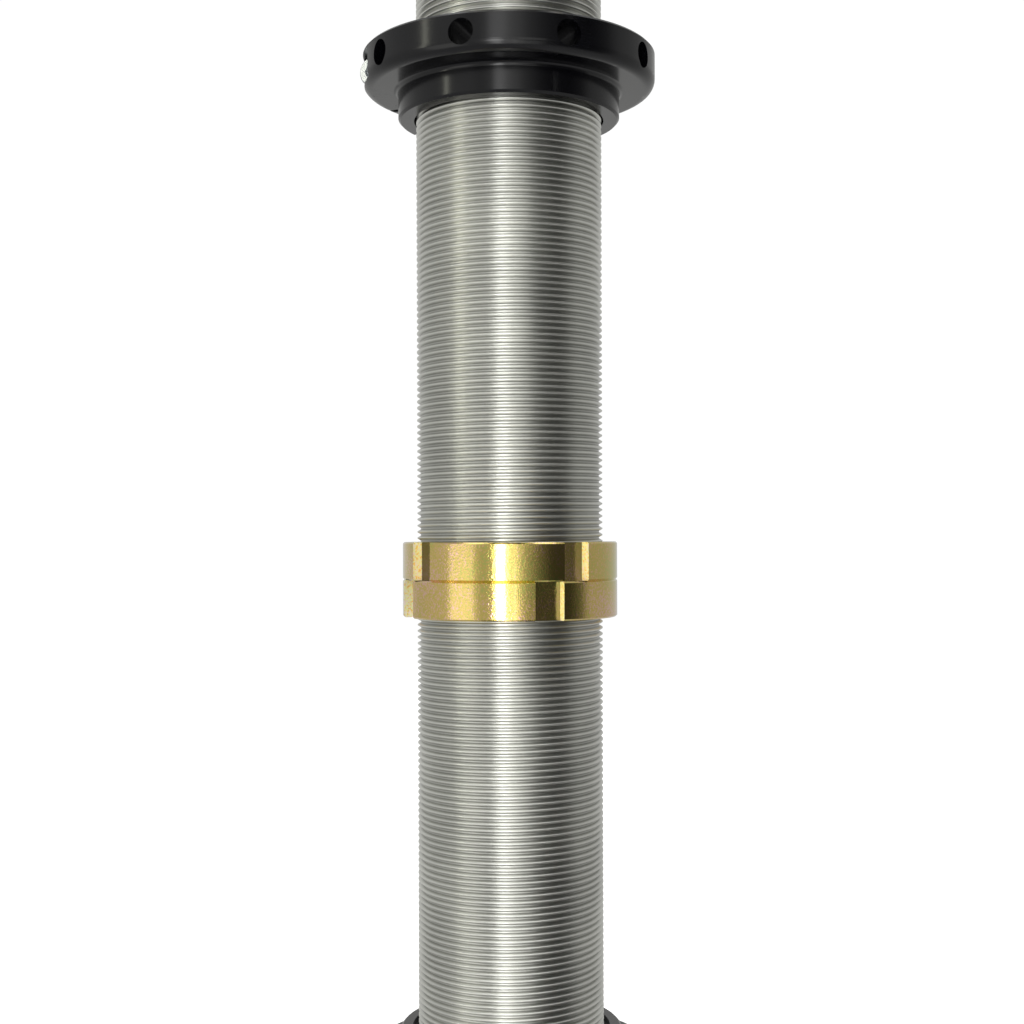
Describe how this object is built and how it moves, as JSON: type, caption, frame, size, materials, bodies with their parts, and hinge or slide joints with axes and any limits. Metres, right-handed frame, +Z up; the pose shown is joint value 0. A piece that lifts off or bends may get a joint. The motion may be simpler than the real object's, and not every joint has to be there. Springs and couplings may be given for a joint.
{
  "type": "coilover shock absorber",
  "caption": "Threaded-body coilover shock absorber without springs: preload nut, gold stop rings, spring slider, gas chamber with floating piston, chromed rod, lower spring perch and spherical bearing eyes.",
  "frame": {"origin": "centre of the upper eye's bolt bore", "axes": "+Z up along the damper's axis, from the rod eye to the body eye; +Y along both eye bolts, away from the side that the picture shows; +X towards the gas valve"},
  "size_m": [0.1032, 0.1, 0.8764],
  "materials": {
    "black_anodised": "satin black anodised, machined",
    "clear_aluminium": "clear anodised, fine turned",
    "plated_tube": "bright plated, threaded",
    "yellow_zinc": "yellow zinc passivate, iridescent",
    "hard_chrome": "ground and polished hard chrome",
    "bearing_steel": "ground",
    "black_spring_steel": "black phosphate",
    "brass": "turned",
    "bushing_bronze": "sintered, lined",
    "black_rubber": "matt",
    "ptfe_band": "filled, matt",
    "black_acetal": "turned plastic",
    "bump_foam": "moulded foam skin",
    "zinc_screw": "bright zinc"
  },
  "bodies": {
    "cylinder": {"cylinder_tube": "plated_tube", "top_cap": "clear_aluminium", "top_cap_oring": "black_rubber", "charge_valve": "brass", "valve_core": "brass", "valve_cap": "black_acetal", "upper_bearing_race": "bearing_steel", "upper_bearing_clips": "black_spring_steel", "seal_head": "clear_aluminium", "seal_head_oring": "black_rubber", "seal_head_ring": "black_spring_steel", "guide_bushing": "bushing_bronze", "rod_seal": "black_rubber", "rod_wiper": "black_rubber", "lower_cap": "black_anodised"},
    "upper_ball": {"upper_ball": "bearing_steel"},
    "upper_spacers": {"upper_spacers": "zinc_screw"},
    "floating_piston": {"floating_piston": "clear_aluminium", "floating_piston_band": "ptfe_band", "floating_piston_oring": "black_rubber", "bleed_screw": "zinc_screw"},
    "rod": {"piston_rod": "hard_chrome", "piston": "clear_aluminium", "piston_band": "ptfe_band", "piston_oring": "black_rubber", "compression_shims": "bearing_steel", "rebound_shims": "bearing_steel", "shim_washers": "zinc_screw", "piston_nut": "zinc_screw", "top_out_spacer": "black_acetal", "bump_stop": "bump_foam", "bump_stop_cup": "black_anodised", "lower_eyelet": "clear_aluminium", "lower_perch": "black_anodised", "lower_bearing_race": "bearing_steel", "lower_bearing_clips": "black_spring_steel"},
    "lower_ball": {"lower_ball": "bearing_steel"},
    "lower_spacers": {"lower_spacers": "zinc_screw"},
    "preload_nut": {"preload_nut": "black_anodised", "pinch_screw": "zinc_screw"},
    "stop_ring_lower": {"stop_ring_lower": "yellow_zinc"},
    "stop_ring_upper": {"stop_ring_upper": "yellow_zinc"},
    "slider": {"slider_body": "black_anodised", "slider_liner": "black_acetal", "slider_ring": "black_spring_steel"}
  },
  "joints": [
    {"name": "rod_travel", "type": "slide", "parent": "cylinder", "child": "rod", "axis": [0, 0, 1], "range_m": [0, 0.254], "stiffness_N_per_m": 2300, "springref_m": -0.232},
    {"name": "floating_piston_float", "type": "slide", "parent": "cylinder", "child": "floating_piston", "axis": [0, 0, 1], "range_m": [0, 0.0385]},
    {"name": "preload_adjust", "type": "slide", "parent": "cylinder", "child": "preload_nut", "axis": [0, 0, 1], "range_m": [-0.068, 0.07]},
    {"name": "stop_ring_adjust", "type": "slide", "parent": "cylinder", "child": "stop_ring_lower", "axis": [0, 0, 1], "range_m": [-0.022, 0.065]},
    {"name": "stop_ring_unlock", "type": "slide", "parent": "stop_ring_lower", "child": "stop_ring_upper", "axis": [0, 0, 1], "range_m": [0, 0.008]},
    {"name": "slider_travel", "type": "slide", "parent": "cylinder", "child": "slider", "axis": [0, 0, 1], "range_m": [0, 0.115]},
    {"name": "upper_ball_tilt", "type": "hinge", "parent": "cylinder", "child": "upper_ball", "pos_m": [0, 0, 0], "axis": [1, 0, 0], "range_deg": [-11, 11]},
    {"name": "upper_bolt_turn", "type": "hinge", "parent": "upper_ball", "child": "upper_spacers", "pos_m": [0, 0, 0], "axis": [0, 1, 0], "continuous": true},
    {"name": "lower_ball_tilt", "type": "hinge", "parent": "rod", "child": "lower_ball", "pos_m": [0, 0, -0.83203], "axis": [1, 0, 0], "range_deg": [-11, 11]},
    {"name": "lower_bolt_turn", "type": "hinge", "parent": "lower_ball", "child": "lower_spacers", "pos_m": [0, 0, -0.83203], "axis": [0, 1, 0], "continuous": true}
  ],
  "couplings": [
    {"joint": "floating_piston_float", "follows": "rod_travel", "ratio": 0.15124}
  ]
}
